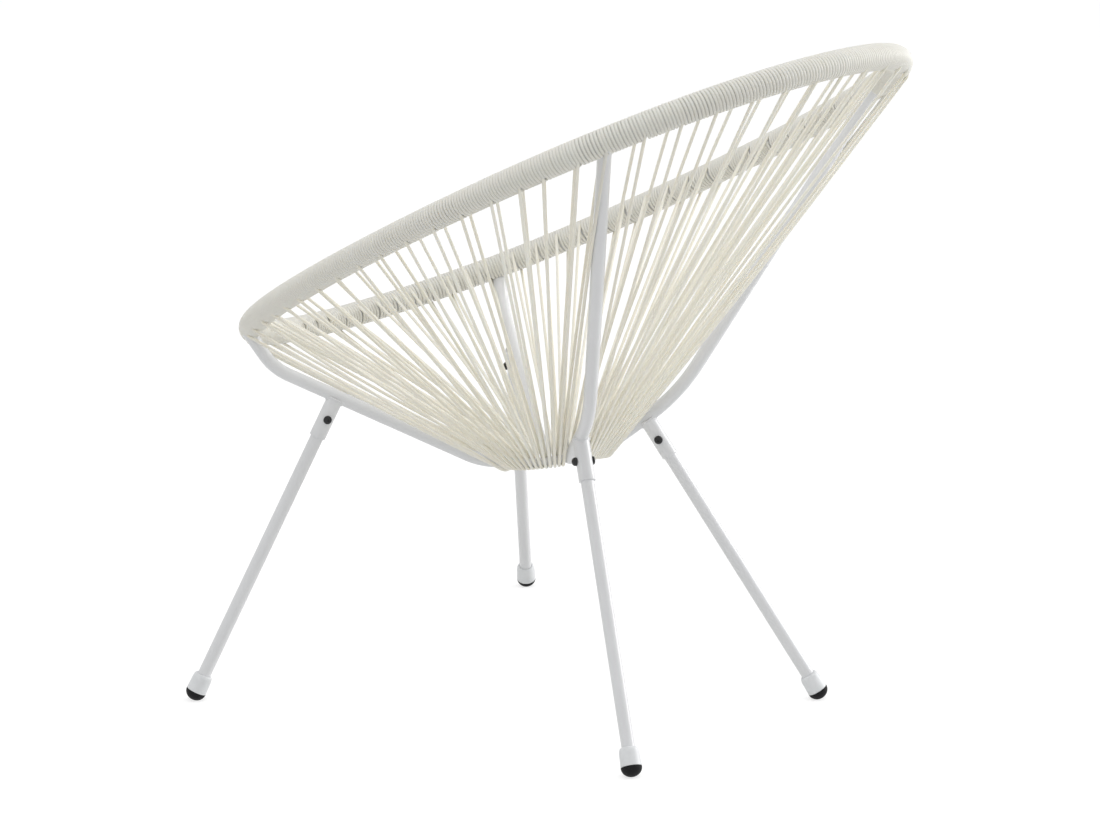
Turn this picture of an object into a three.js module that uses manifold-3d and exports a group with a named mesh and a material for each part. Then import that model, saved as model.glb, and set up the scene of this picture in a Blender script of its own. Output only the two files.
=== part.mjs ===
// Acapulco chair: a tilted egg-shaped tube hoop, laced with plastic cord down to a small ring, on four struts
// and four plug-in legs. Millimetres, +Z up, the sitter faces -Y, +X is the sitter's left. The origin lies on
// the floor, under the middle of the chair.
import * as THREE from 'three';
import { mergeVertices } from 'three/addons/utils/BufferGeometryUtils.js';
import Module from 'manifold-3d';

const wasm = await Module();
wasm.setup();

// Driving dimensions of the hoop
const hoopHalfWidth = 325;
const hoopHalfLength = 452.5;
const hoopBulgeShare = 0.0591;
const hoopTiltAngle = 27.2;
const hoopHeight = 613.4;
const hoopTubeRadius = 12;
const hoopWall = 1.5;

// Driving dimensions of the lower ring
const ringSetBack = 20;
const ringHeight = 301.5;
const ringRadius = 62;
const ringTiltAngle = 10.1;
const ringTubeRadius = 5;

// Driving dimensions of the cord and how it is spread over the hoop and the ring
const cordRadius = 1.95;
const wrapThickness = 3.6;
const sectorGap = 0.3;
const frontCordCount = 9;
const sideCordCount = 17;
const backCordCount = 8;
const sideCordMargin = 6;
const tuckedCordOffset = 3.2;
const tuckedCordSlack = 0.2;
const frontStrutShare = 0.4;
const frontRingMiddleAngle = 4.7;
const frontRingHalfAngle = 28.5;
const sideRingFromAngle = -43.5;
const sideRingToAngle = 49;
const sideCrowdingShare = 0.2;
const backRingHalfAngle = 23.5;
const backInnerHalfAngle = 30;

// Driving dimensions of the struts
const strutTubeRadius = 8;
const strutWall = 1.5;
const frontStrutArc = 257.5;
const frontStrutOut = 6.5;
const frontStrutUnder = 4.5;
const frontNeckReach = 30.4;
const frontNeckAngle = 127.2;
const frontNeckDrop = 45.3;
const frontStrutRingAngle = -51.7;
const frontFlatLength = 31;
const frontFlatRise = 2.5;
const frontEndDrop = 3;
const frontNeckTangent = 20;
const frontFlatTangent = 16;
const backStrutArc = 931;
const backStrutOut = -7.9;
const backStrutUnder = 3.1;
const backNeckReach = 230.6;
const backNeckAngle = -136.5;
const backNeckDrop = 366.4;
const backStrutRingAngle = 57.5;
const backNeckTangent = 44;

// Driving dimensions of the legs, their sockets and feet
const frontFootX = 310;
const frontFootY = -330;
const backFootX = 181;
const backFootY = 247;
const frontSocketAlong = 82.5;
const backSocketAlong = 48;
const frontSocketReach = 54.5;
const backSocketReach = 54.6;
const socketSaddle = 3;
const socketRadius = 9.9;
const legRadius = 8;
const legWall = 1.5;
const legInsertGap = 14;
const boltRise = 25;
const boltRadius = 2.7;
const boltHeadRadius = 5.2;
const boltHeadHeight = 2.8;
const hexRecessRadius = 1.9;
const hexRecessDepth = 1.6;
const capNutHeight = 5.4;
const headShoulderShare = 0.85;
const headCrownShare = 0.5;
const capNutThread = 2;
const ferruleRadius = 12.5;
const ferruleLength = 23;
const ferruleShoulder = 9;
const ferruleTaper = 0.5;
const ferruleTop = 1.1;
const ferruleWeb = 9;
const glideDome = 11.3;
const glideStemRadius = 6;
const glideStemLength = 8.4;
const floorFlat = 0.6;

// Working values: the clearance between touching pieces, the overrun of cuts and how finely round shapes are cut
const clearance = 0.3;
const overrun = 4;
const ventRadius = 2;
const cordSides = 5;
const hoopSides = 8;
const wrapSides = 10;
const boreSides = 6;
const ringSides = 8;
const strutSides = 10;
const legSides = 12;
const smallSides = 10;
const hexSides = 6;
const hoopSteps = 56;
const ringSteps = 30;
const bendSteps = 3;
const hookSteps = 4;
const shoulderSteps = 3;
const domeSteps = 4;
const arcSamples = 2000;
const nearestShare = 0.15;

const radians = THREE.MathUtils.degToRad;
const up = new THREE.Vector3(0, 0, 1);
const chair = new THREE.Group();

const material = (color, roughness, metalness) => new THREE.MeshStandardMaterial({ color, roughness, metalness });
const frameWhite = () => material(0xd9dcdf, 0.38, 0);
const cordCream = () => material(0xdcd9ca, 0.42, 0);
const rubberBlack = () => material(0x1c1c1e, 0.6, 0);
const boltBlack = () => material(0x1a1a1c, 0.35, 0.5);

// Solids: a closed geometry becomes a manifold for cutting, and comes back as a geometry
function toSolid(geometry) {
  const bare = geometry.clone();
  bare.deleteAttribute('normal');
  bare.deleteAttribute('uv');
  const merged = mergeVertices(bare);
  const vertProperties = new Float32Array(merged.getAttribute('position').array);
  const triVerts = new Uint32Array(merged.getIndex().array);
  return new wasm.Manifold(new wasm.Mesh({ numProp: 3, vertProperties, triVerts }));
}

function toGeometry(solid) {
  const mesh = solid.getMesh();
  const geometry = new THREE.BufferGeometry();
  geometry.setAttribute('position', new THREE.BufferAttribute(new Float32Array(mesh.vertProperties), 3));
  geometry.setIndex(new THREE.BufferAttribute(new Uint32Array(mesh.triVerts), 1));
  geometry.computeVertexNormals();
  return geometry;
}

function addPiece(parent, name, geometry, finish) {
  const mesh = new THREE.Mesh(geometry, finish);
  mesh.name = name;
  parent.add(mesh);
  return mesh;
}

// The hoop's centre line: an ellipse bulged at its sides and tilted about X, from the front, by way of +X
class HoopCurve extends THREE.Curve {
  constructor() {
    super();
    this.arcLengthDivisions = arcSamples;
  }
  getPoint(t) {
    const angle = 2 * Math.PI * t - Math.PI / 2;
    const slope = hoopHalfLength * Math.sin(angle);
    const x = hoopHalfWidth * Math.cos(angle) * (1 + 2 * hoopBulgeShare * Math.sin(angle) ** 2);
    const tilt = radians(hoopTiltAngle);
    return new THREE.Vector3(x, slope * Math.cos(tilt), hoopHeight + slope * Math.sin(tilt));
  }
}

// The lower ring's centre line, from +X, by way of the back
class RingCurve extends THREE.Curve {
  getPoint(t) {
    return ringPoint(360 * t);
  }
}

function ringPoint(degrees) {
  const angle = radians(degrees);
  const tilt = radians(ringTiltAngle);
  const slope = ringRadius * Math.sin(angle);
  return new THREE.Vector3(ringRadius * Math.cos(angle), slope * Math.cos(tilt) - ringSetBack,
    ringHeight + slope * Math.sin(tilt));
}

function ringTangent(degrees) {
  const angle = radians(degrees);
  const tilt = radians(ringTiltAngle);
  return new THREE.Vector3(-Math.sin(angle), Math.cos(angle) * Math.cos(tilt), Math.cos(angle) * Math.sin(tilt));
}

const hoopCurve = new HoopCurve();
const ringCurve = new RingCurve();
const hoopLength = hoopCurve.getLength();
const hoopNormal = new THREE.Vector3(0, -Math.sin(radians(hoopTiltAngle)), Math.cos(radians(hoopTiltAngle)));
const ringNormal = new THREE.Vector3(0, -Math.sin(radians(ringTiltAngle)), Math.cos(radians(ringTiltAngle)));

// A round bar of the given radius through the given shares of a flat curve, or right round it as a closed loop
function barAlong(curve, normal, radius, sides, shares, closed) {
  const rings = shares.length;
  const positions = [];
  for (const share of shares) {
    const u = ((share % 1) + 1) % 1;
    const centre = curve.getPointAt(u);
    const outward = curve.getTangentAt(u).cross(normal).normalize();
    for (let j = 0; j < sides; j += 1) {
      const angle = 2 * Math.PI * (j + 0.5) / sides;
      const point = centre.clone()
        .addScaledVector(outward, radius * Math.cos(angle))
        .addScaledVector(normal, radius * Math.sin(angle));
      positions.push(point.x, point.y, point.z);
    }
  }
  const index = [];
  for (let i = 0; i < (closed ? rings : rings - 1); i += 1) {
    for (let j = 0; j < sides; j += 1) {
      const here = i * sides + j;
      const beside = i * sides + (j + 1) % sides;
      const next = ((i + 1) % rings) * sides + j;
      const nextBeside = ((i + 1) % rings) * sides + (j + 1) % sides;
      index.push(here, next, beside, beside, next, nextBeside);
    }
  }
  const last = (rings - 1) * sides;
  for (let j = 1; j < sides - 1 && !closed; j += 1) {
    index.push(0, j, j + 1, last, last + j + 1, last + j);
  }
  const geometry = new THREE.BufferGeometry();
  geometry.setAttribute('position', new THREE.Float32BufferAttribute(positions, 3));
  geometry.setIndex(index);
  return toSolid(geometry);
}

// Shares of a whole loop, and those shares of it that lie between two others, with the two themselves
const loopShares = (steps) => Array.from({ length: steps }, (unused, i) => i / steps);

function sharesBetween(from, to, steps) {
  const shares = [from];
  for (let i = Math.floor(from * steps) + 1; i < to * steps; i += 1) {
    shares.push(i / steps);
  }
  shares.push(to);
  const least = nearestShare / steps;
  return shares.filter((share, i) => i === 0 || i === shares.length - 1
    || (share - from > least && to - share > least));
}

// A path through hand-placed stations, sampled exactly at them
class StationPath extends THREE.Curve {
  constructor(stations) {
    super();
    this.stations = stations;
  }
  getUtoTmapping(u) {
    return u;
  }
  getPoint(t) {
    const place = t * (this.stations.length - 1);
    const low = Math.min(Math.floor(place), this.stations.length - 2);
    return this.stations[low].clone().lerp(this.stations[low + 1], place - low);
  }
  getTangent(t) {
    const i = Math.round(t * (this.stations.length - 1));
    const before = this.stations[Math.max(i - 1, 0)];
    const here = this.stations[i];
    const after = this.stations[Math.min(i + 1, this.stations.length - 1)];
    const tangent = new THREE.Vector3();
    if (i > 0) {
      tangent.add(here.clone().sub(before).normalize());
    }
    if (i < this.stations.length - 1) {
      tangent.add(after.clone().sub(here).normalize());
    }
    return tangent.normalize();
  }
}

function circleShape(radius, sides) {
  const points = [];
  for (let i = 0; i < sides; i += 1) {
    const angle = 2 * Math.PI * i / sides;
    points.push(new THREE.Vector2(radius * Math.cos(angle), radius * Math.sin(angle)));
  }
  return points;
}

// A round bar or pipe through the stations; a bore of zero leaves it solid
function pipeThrough(stations, radius, bore, sides) {
  const shape = new THREE.Shape(circleShape(radius, sides));
  if (bore > 0) {
    shape.holes.push(new THREE.Path(circleShape(bore, boreSides).reverse()));
  }
  const path = new StationPath(stations);
  return new THREE.ExtrudeGeometry(shape, { steps: stations.length - 1, extrudePath: path, bevelEnabled: false });
}

// The stations of a bent tube: straight runs joined by arcs that start a tangent length from each corner
function bentStations(corners, tangents) {
  const stations = [corners[0]];
  for (let i = 1; i < corners.length - 1; i += 1) {
    const into = corners[i - 1].clone().sub(corners[i]).normalize();
    const away = corners[i + 1].clone().sub(corners[i]).normalize();
    const start = corners[i].clone().addScaledVector(into, tangents[i - 1]);
    const end = corners[i].clone().addScaledVector(away, tangents[i - 1]);
    const bend = new THREE.QuadraticBezierCurve3(start, corners[i], end);
    stations.push(...bend.getPoints(bendSteps));
  }
  stations.push(corners[corners.length - 1]);
  return stations;
}

// A turned piece about Z from radius and height pairs that close on themselves or start and end on the axis
function turned(profile, sides) {
  const points = profile.map(([radius, height]) => new THREE.Vector2(radius, height));
  const geometry = new THREE.LatheGeometry(points, sides);
  geometry.rotateX(Math.PI / 2);
  return geometry;
}

function ringSleeve(inner, outer, low, high, sides) {
  return turned([[inner, low], [outer, low], [outer, high], [inner, high], [inner, low]], sides);
}

// The hoop is a hollow tube, vented where its four struts are welded on; the lower ring is a solid bar
function hoopFrame(arc) {
  const u = (arc / hoopLength + 1) % 1;
  const tangent = hoopCurve.getTangentAt(u);
  return { centre: hoopCurve.getPointAt(u), tangent, outward: tangent.clone().cross(hoopNormal).normalize() };
}

function strutTop(side, arc, out, under) {
  const { centre, outward } = hoopFrame(side * arc);
  return centre.addScaledVector(outward, out).addScaledVector(hoopNormal, -under);
}

function mirrored(point, side) {
  return new THREE.Vector3(side * point.x, point.y, point.z);
}

// Corners of one strut on the +X side, from the hoop down to the ring
function frontStrutCorners() {
  const top = strutTop(1, frontStrutArc, frontStrutOut, frontStrutUnder);
  const neck = new THREE.Vector3(top.x + frontNeckReach * Math.cos(radians(frontNeckAngle)),
    top.y + frontNeckReach * Math.sin(radians(frontNeckAngle)), top.z - frontNeckDrop);
  const end = ringPoint(frontStrutRingAngle);
  end.z -= frontEndDrop;
  const flat = end.clone();
  flat.x += frontFlatLength * Math.cos(radians(frontStrutRingAngle));
  flat.y += frontFlatLength * Math.sin(radians(frontStrutRingAngle));
  flat.z += frontFlatRise;
  return [top, neck, flat, end];
}

function backStrutCorners() {
  const top = strutTop(1, backStrutArc, backStrutOut, backStrutUnder);
  const neck = new THREE.Vector3(top.x + backNeckReach * Math.cos(radians(backNeckAngle)),
    top.y + backNeckReach * Math.sin(radians(backNeckAngle)), top.z - backNeckDrop);
  return [top, neck, ringPoint(backStrutRingAngle)];
}

const corners = {
  front: {
    strut: frontStrutCorners(),
    tangents: [frontNeckTangent, frontFlatTangent],
    along: frontSocketAlong,
    reach: frontSocketReach,
    foot: new THREE.Vector3(frontFootX, frontFootY, 0),
  },
  back: {
    strut: backStrutCorners(),
    tangents: [backNeckTangent],
    along: backSocketAlong,
    reach: backSocketReach,
    foot: new THREE.Vector3(backFootX, backFootY, 0),
  },
};
const sides = { left: 1, right: -1 };

const hoopShares = loopShares(hoopSteps);
const ringShares = loopShares(ringSteps);
const hoopKeepOut = barAlong(hoopCurve, hoopNormal, hoopTubeRadius + clearance, hoopSides, hoopShares, true);
const ringKeepOut = barAlong(ringCurve, ringNormal, ringTubeRadius + clearance, ringSides, ringShares, true);
let hoop = barAlong(hoopCurve, hoopNormal, hoopTubeRadius, hoopSides, hoopShares, true)
  .subtract(barAlong(hoopCurve, hoopNormal, hoopTubeRadius - hoopWall, boreSides, hoopShares, true));
const ring = barAlong(ringCurve, ringNormal, ringTubeRadius, ringSides, ringShares, true);
const strutKeepOuts = { left: [], right: [] };

// Struts: bent tubes coped to the hoop above and to the ring below
for (const [end, corner] of Object.entries(corners)) {
  for (const [side, sign] of Object.entries(sides)) {
    const bends = corner.strut.map((point) => mirrored(point, sign));
    const stations = bentStations(bends, corner.tangents);
    const pipe = toSolid(pipeThrough(stations, strutTubeRadius, strutTubeRadius - strutWall, strutSides));
    const strut = pipe.subtract(hoopKeepOut).subtract(ringKeepOut).decompose()
      .sort((one, other) => other.volume() - one.volume())[0];
    addPiece(chair, `strut_${end}_${side}`, toGeometry(strut), frameWhite());
    const keepOut = [...stations];
    const lift = stations[0].clone().sub(stations[1]).normalize();
    keepOut[0] = stations[0].clone().addScaledVector(lift, clearance);
    strutKeepOuts[side].push(toSolid(pipeThrough(keepOut, strutTubeRadius + clearance, 0, strutSides)));
    const hoopVent = [stations[0], stations[0].clone().addScaledVector(lift, hoopTubeRadius)];
    hoop = hoop.subtract(toSolid(pipeThrough(hoopVent, ventRadius, 0, boreSides)));
  }
}
addPiece(chair, 'hoop_tube', toGeometry(hoop), frameWhite());
addPiece(chair, 'lower_ring', toGeometry(ring), frameWhite());

// Lacing: where each cord leaves the hoop on the +X side, as an arc from the front centre, and its ring angles
function cordPlan() {
  const plan = [];
  const frontStep = frontStrutArc / (frontCordCount + frontStrutShare);
  const frontAngleStep = (frontRingHalfAngle - frontRingMiddleAngle) / (frontCordCount - 1);
  for (let i = 0; i < frontCordCount; i += 1) {
    const angle = frontRingMiddleAngle + frontAngleStep * i - 90;
    plan.push({ arc: frontStep * (i + 1), outer: angle, inner: angle, laid: false });
  }
  const sideAngle = (i) => {
    const share = i / sideCordCount;
    const eased = share + sideCrowdingShare * share * (1 - share);
    return sideRingFromAngle + (sideRingToAngle - sideRingFromAngle) * eased;
  };
  const sideStep = (backStrutArc - sideCordMargin - frontStrutArc) / sideCordCount;
  for (let i = 0; i < sideCordCount; i += 1) {
    const arc = frontStrutArc + sideStep * (i + 0.5);
    plan.push({ arc, outer: sideAngle(i), inner: sideAngle(i), laid: false });
  }
  const tuckedArc = backStrutArc + tuckedCordOffset;
  const tucked = sideAngle(sideCordCount);
  plan.push({ arc: tuckedArc, outer: tucked, inner: tucked, laid: true });
  const backStep = (hoopLength / 2 - tuckedArc) / (backCordCount - 0.5);
  for (let i = 1; i < backCordCount; i += 1) {
    const share = (backCordCount - 0.5 - i) / (backCordCount - 1.5);
    const outer = 90 - backRingHalfAngle * share;
    const inner = 90 - backInnerHalfAngle * share;
    plan.push({ arc: tuckedArc + backStep * i, outer, inner, laid: false });
  }
  return plan;
}

// The tucked cord's shortest way from one point to another round the outer face of the back strut and off its
// front side: straight to the tube, round it at a steady rise, and straight on
function overBackStrut(from, to) {
  const [top, neck] = corners.back.strut;
  const axis = neck.clone().sub(top).normalize();
  const away = top.clone().sub(ringPoint(backStrutRingAngle)).setZ(0);
  const outward = away.addScaledVector(axis, -away.dot(axis)).normalize();
  const forward = axis.clone().cross(outward);
  forward.multiplyScalar(-Math.sign(forward.y));
  const radius = strutTubeRadius + clearance + cordRadius + tuckedCordSlack;
  const [start, end] = [from, to].map((point) => {
    const offset = point.clone().sub(top);
    const turn = Math.atan2(offset.dot(forward), offset.dot(outward));
    const distance = Math.max(Math.hypot(offset.dot(forward), offset.dot(outward)), radius);
    return { along: offset.dot(axis), turn, free: Math.sqrt(distance ** 2 - radius ** 2),
      lean: Math.acos(radius / distance) };
  });
  const touches = start.turn + start.lean;
  const leaves = end.turn - end.lean;
  if (leaves <= touches) {
    return [];
  }
  const wound = radius * (leaves - touches);
  const rise = (end.along - start.along) / (start.free + wound + end.free);
  const via = [];
  for (let i = 0; i <= bendSteps; i += 1) {
    const share = i / bendSteps;
    const angle = touches + (leaves - touches) * share;
    via.push(top.clone()
      .addScaledVector(axis, start.along + rise * (start.free + wound * share))
      .addScaledVector(outward, radius * Math.cos(angle))
      .addScaledVector(forward, radius * Math.sin(angle)));
  }
  return via;
}

// The side of a tube on which a cord lies: square to the tube and to the cord, and on the side of the guide
function lyingSide(tube, cord, guide) {
  const side = tube.clone().cross(cord).normalize();
  return side.multiplyScalar(Math.sign(side.dot(guide)));
}

// One cord as a belt: off the hoop's under side, down to the ring, round it, and up to the hoop's upper side
function cordStations({ arc, outer, inner, laid }) {
  const { centre, tangent } = hoopFrame(arc);
  const hookRadius = (ringTubeRadius + clearance + cordRadius) / Math.cos(Math.PI / 2 / hookSteps);
  const seat = hoopTubeRadius + clearance + cordRadius;
  const down = ringPoint(outer).sub(centre).normalize();
  const back = ringPoint(inner).sub(centre).normalize();
  const outerSide = lyingSide(tangent, down, hoopNormal.clone().negate());
  const innerSide = lyingSide(tangent, back, hoopNormal);
  const outerEnd = centre.clone().addScaledVector(outerSide, seat);
  const innerEnd = centre.clone().addScaledVector(innerSide, seat);
  const hook = [];
  for (let i = 0; i <= hookSteps; i += 1) {
    const share = i / hookSteps;
    const angle = outer + (inner - outer) * share;
    const bar = ringTangent(angle);
    const along = down.clone().lerp(back, share);
    along.addScaledVector(bar, -along.dot(bar)).normalize();
    const side = lyingSide(bar, along, outerSide);
    hook.push(ringPoint(angle)
      .addScaledVector(side, hookRadius * Math.cos(Math.PI * share))
      .addScaledVector(along, hookRadius * Math.sin(Math.PI * share)));
  }
  return [outerEnd, ...(laid ? overBackStrut(outerEnd, hook[0]) : []), ...hook, innerEnd];
}

// Each sector is a stretch of the wrap round the hoop, one body with the cords that leave it
const plan = cordPlan();
const middleCord = { arc: 0, outer: -90, inner: -90, laid: false };
const tuckedPlace = frontCordCount + sideCordCount;
const sectors = [
  { label: 'front', cords: [0, frontCordCount] },
  { label: 'side_1', cords: [frontCordCount, frontCordCount + 5] },
  { label: 'side_2', cords: [frontCordCount + 5, frontCordCount + 9] },
  { label: 'side_3', cords: [frontCordCount + 9, frontCordCount + 13] },
  { label: 'side_4', cords: [frontCordCount + 13, tuckedPlace] },
  { label: 'back_1', cords: [tuckedPlace, tuckedPlace + 4] },
  { label: 'back_2', cords: [tuckedPlace + 4, plan.length] },
];

function sectorStart(cord) {
  if (cord === 0) {
    return plan[0].arc / 2;
  }
  if (cord === frontCordCount) {
    return frontStrutArc;
  }
  return cord === plan.length ? hoopLength / 2 : (plan[cord - 1].arc + plan[cord].arc) / 2;
}

function addSector(name, from, to, drops, sign, keepOuts) {
  const ends = [sign * (from + sectorGap / 2) / hoopLength, sign * (to - sectorGap / 2) / hoopLength];
  const shares = sharesBetween(Math.min(...ends), Math.max(...ends), hoopSteps);
  let sector = barAlong(hoopCurve, hoopNormal, hoopTubeRadius + wrapThickness, wrapSides, shares, false);
  for (const drop of drops) {
    const stations = cordStations(drop).map((point) => mirrored(point, sign));
    sector = sector.add(toSolid(pipeThrough(stations, cordRadius, 0, cordSides)));
  }
  for (const keepOut of [hoopKeepOut, ...keepOuts]) {
    sector = sector.subtract(keepOut);
  }
  const parts = sector.decompose().sort((one, other) => other.volume() - one.volume());
  addPiece(chair, name, toGeometry(parts[0]), cordCream());
}

addSector('lacing_front_middle', -sectorStart(0), sectorStart(0), [middleCord], 1, []);
for (const [side, sign] of Object.entries(sides)) {
  for (const { label, cords } of sectors) {
    const [from, to] = cords.map(sectorStart);
    addSector(`lacing_${label}_${side}`, from, to, plan.slice(...cords), sign, strutKeepOuts[side]);
  }
}

// Legs: each plugs into a socket under its strut, is held by a through bolt, and stands on a ferrule and glide
const floorBlock = new THREE.BoxGeometry(4 * hoopHalfLength, 4 * hoopHalfLength, 4 * hoopHalfLength);
floorBlock.translate(0, 0, -2 * hoopHalfLength);
const belowFloor = toSolid(floorBlock);

for (const [end, corner] of Object.entries(corners)) {
  for (const [side, sign] of Object.entries(sides)) {
    const [, neck, next] = corner.strut;
    const run = next.clone().sub(neck).normalize();
    const top = mirrored(neck.clone().addScaledVector(run, corner.along), sign);
    const foot = mirrored(corner.foot, sign);
    const lean = top.clone().sub(foot).angleTo(up);
    foot.z = Math.hypot(ferruleRadius * Math.sin(lean), glideDome * Math.cos(lean)) - floorFlat;
    const axis = top.clone().sub(foot).normalize();
    const across = axis.clone().cross(up).normalize();
    across.multiplyScalar(Math.sign(across.y));
    const basis = new THREE.Matrix4().makeBasis(across, axis.clone().cross(across), axis);
    const atTop = basis.clone().setPosition(top);
    const atFoot = basis.clone().setPosition(foot);
    const length = top.distanceTo(foot);
    const boltHeight = boltRise - corner.reach;
    const keepOut = strutKeepOuts[side][end === 'front' ? 0 : 1];
    const placed = (geometry, place) => toSolid(geometry.applyMatrix4(place));

    const boltHole = turned([[0, -2 * socketRadius], [boltRadius + clearance, -2 * socketRadius],
      [boltRadius + clearance, 2 * socketRadius], [0, 2 * socketRadius]], smallSides);
    boltHole.rotateY(Math.PI / 2).translate(0, 0, boltHeight);
    const boltCut = placed(boltHole, atTop);

    const socketTube = ringSleeve(legRadius + clearance, socketRadius, -corner.reach, -socketSaddle, legSides);
    const socket = placed(socketTube, atTop).subtract(keepOut).subtract(boltCut);
    addPiece(chair, `leg_socket_${end}_${side}`, toGeometry(socket), frameWhite());

    const legLow = ferruleWeb + clearance - length;
    const legTube = ringSleeve(legRadius - legWall, legRadius, legLow, -legInsertGap, legSides);
    const leg = placed(legTube, atTop).subtract(keepOut).subtract(boltCut);
    addPiece(chair, `leg_${end}_${side}`, toGeometry(leg), frameWhite());

    const seat = socketRadius + clearance;
    const bolt = turned(boltProfile(seat), smallSides);
    bolt.rotateY(Math.PI / 2).translate(0, 0, boltHeight);
    const recess = new THREE.CylinderGeometry(hexRecessRadius, hexRecessRadius, 2 * hexRecessDepth, hexSides);
    recess.rotateZ(Math.PI / 2).translate(seat + boltHeadHeight, 0, boltHeight);
    const boltSolid = placed(bolt, atTop).subtract(placed(recess, atTop));
    addPiece(chair, `bolt_${end}_${side}`, toGeometry(boltSolid), boltBlack());

    const nut = turned(capNutProfile(seat), smallSides);
    nut.rotateY(-Math.PI / 2).translate(0, 0, boltHeight);
    addPiece(chair, `cap_nut_${end}_${side}`, toGeometry(placed(nut, atTop)), boltBlack());

    const ferrule = placed(turned(ferruleProfile(), legSides), atFoot);
    addPiece(chair, `ferrule_${end}_${side}`, toGeometry(ferrule), frameWhite());

    const glide = placed(turned(glideProfile(), legSides), atFoot).subtract(belowFloor);
    addPiece(chair, `glide_${end}_${side}`, toGeometry(glide), rubberBlack());
  }
}

// Profiles of the turned pieces, as radius and height along the axis
function boltProfile(seat) {
  const crown = seat + boltHeadHeight;
  return [[0, clearance - seat - capNutThread], [boltRadius, clearance - seat - capNutThread], [boltRadius, seat],
    [boltHeadRadius, seat], [boltHeadRadius, seat + boltHeadHeight / 3],
    [boltHeadRadius * headShoulderShare, crown - clearance], [boltHeadRadius * headCrownShare, crown], [0, crown]];
}

function capNutProfile(seat) {
  const bore = boltRadius + clearance;
  const crown = seat + capNutHeight;
  return [[0, seat + capNutThread], [bore, seat + capNutThread], [bore, seat], [boltHeadRadius, seat],
    [boltHeadRadius, seat + capNutHeight / 3], [boltHeadRadius * headShoulderShare, crown - 2 * clearance],
    [boltHeadRadius * headCrownShare, crown], [0, crown]];
}

function ferruleProfile() {
  const bore = legRadius + clearance;
  const stemBore = glideStemRadius + clearance;
  const profile = [[stemBore, clearance], [ferruleRadius, clearance]];
  const shoulderFoot = ferruleLength - ferruleShoulder;
  const wide = ferruleRadius - ferruleTaper;
  const narrow = bore + ferruleTop;
  for (let i = 0; i <= shoulderSteps; i += 1) {
    const angle = Math.PI / 2 * i / shoulderSteps;
    const radius = narrow + (wide - narrow) * Math.cos(angle);
    profile.push([radius, shoulderFoot + ferruleShoulder * Math.sin(angle)]);
  }
  profile.push([bore, ferruleLength], [bore, ferruleWeb], [stemBore, ferruleWeb], [stemBore, clearance]);
  return profile;
}

function glideProfile() {
  const profile = [];
  for (let i = 0; i <= domeSteps; i += 1) {
    const angle = Math.PI / 2 * i / domeSteps;
    profile.push([i === 0 ? 0 : ferruleRadius * Math.sin(angle), -glideDome * Math.cos(angle)]);
  }
  profile.push([glideStemRadius, 0], [glideStemRadius, glideStemLength], [0, glideStemLength]);
  return profile;
}

export default chair;
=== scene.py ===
import math

import bpy
import numpy as np
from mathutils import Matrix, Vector


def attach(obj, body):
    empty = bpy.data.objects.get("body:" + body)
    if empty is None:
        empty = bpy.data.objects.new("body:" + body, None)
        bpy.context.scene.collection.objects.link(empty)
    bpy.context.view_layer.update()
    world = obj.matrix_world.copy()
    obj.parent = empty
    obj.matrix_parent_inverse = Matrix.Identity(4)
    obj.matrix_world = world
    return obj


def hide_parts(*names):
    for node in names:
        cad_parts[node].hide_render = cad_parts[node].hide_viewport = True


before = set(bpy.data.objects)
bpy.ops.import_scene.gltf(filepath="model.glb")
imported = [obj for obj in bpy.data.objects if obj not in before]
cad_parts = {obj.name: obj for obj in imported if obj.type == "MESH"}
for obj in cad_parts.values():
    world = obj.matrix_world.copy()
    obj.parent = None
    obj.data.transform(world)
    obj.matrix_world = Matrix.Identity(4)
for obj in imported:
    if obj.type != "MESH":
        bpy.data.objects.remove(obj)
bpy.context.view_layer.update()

# The view: a long lens behind the chair's left shoulder, a little above the rim, looking slightly down.
# The camera stands on the line that the photograph was taken along, with its picture centre on the chair.
AZIMUTH, ELEVATION = 2.2706, 0.24925
VIEW_DEGREES, CAMERA_PLACE, FAR_CLIP = 17.135, (3.2668, 2.7232, 1.4381), 60
back = np.array([math.sin(AZIMUTH) * math.cos(ELEVATION), -math.cos(AZIMUTH) * math.cos(ELEVATION),
                 math.sin(ELEVATION)])
camera_data = bpy.data.cameras.new("camera")
camera_data.sensor_fit = "HORIZONTAL"
camera_data.angle = math.radians(VIEW_DEGREES)
camera_data.clip_end = FAR_CLIP
camera = bpy.data.objects.new("camera", camera_data)
camera.location = CAMERA_PLACE
camera.rotation_euler = Vector(-back).to_track_quat("-Z", "Y").to_euler()
bpy.context.scene.collection.objects.link(camera)
bpy.context.scene.camera = camera


# The studio: a white floor and white surroundings, with large soft lamps above and at both sides.
# Surfaces seen directly are plain white; the floor still takes the chair's soft shadow.
class Value:
    """A socket in a shader: + - and * add Math nodes, as written."""

    def __init__(self, shader, socket):
        self.shader, self.socket = shader, socket

    def _math(self, operation, a, b):
        a, b = (v.socket if isinstance(v, Value) else v for v in (a, b))
        return self.shader.node("ShaderNodeMath", {"operation": operation}, {0: a, 1: b})

    def __add__(self, other):
        return self._math("ADD", self, other)

    __radd__ = __add__

    def __sub__(self, other):
        return self._math("SUBTRACT", self, other)

    def __rsub__(self, other):
        return self._math("SUBTRACT", other, self)

    def __mul__(self, other):
        return self._math("MULTIPLY", self, other)

    __rmul__ = __mul__


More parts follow.
